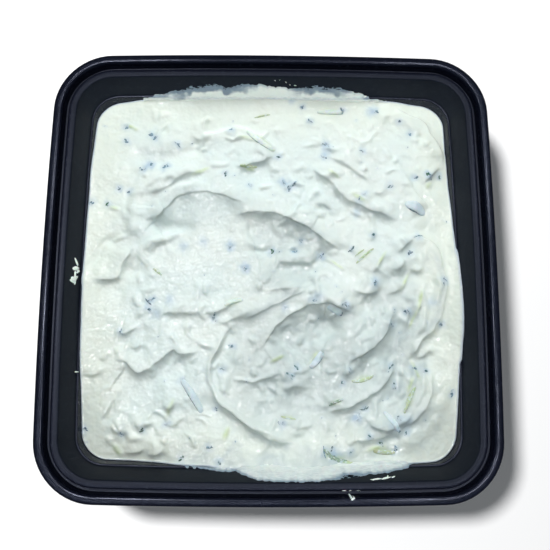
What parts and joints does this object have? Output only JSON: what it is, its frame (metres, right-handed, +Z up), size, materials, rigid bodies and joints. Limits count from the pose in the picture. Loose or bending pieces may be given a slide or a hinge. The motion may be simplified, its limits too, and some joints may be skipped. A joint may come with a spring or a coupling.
{
  "type": "tzatziki dip in a square tray",
  "caption": "White yoghurt dip with cucumber slivers and dill, spooned into folds and swirls, in a square black plastic tray.",
  "frame": {"origin": "middle of the tray's underside, on the surface it stands on", "axes": "+Z up out of the tray, +X and +Y along its sides"},
  "size_m": [0.18, 0.18, 0.045],
  "materials": {
    "tray": "glossy rim, satin walls",
    "dip": "moist, with small highlights"
  },
  "bodies": {
    "root": {"tray": "tray", "dip": "dip"}
  },
  "joints": []
}
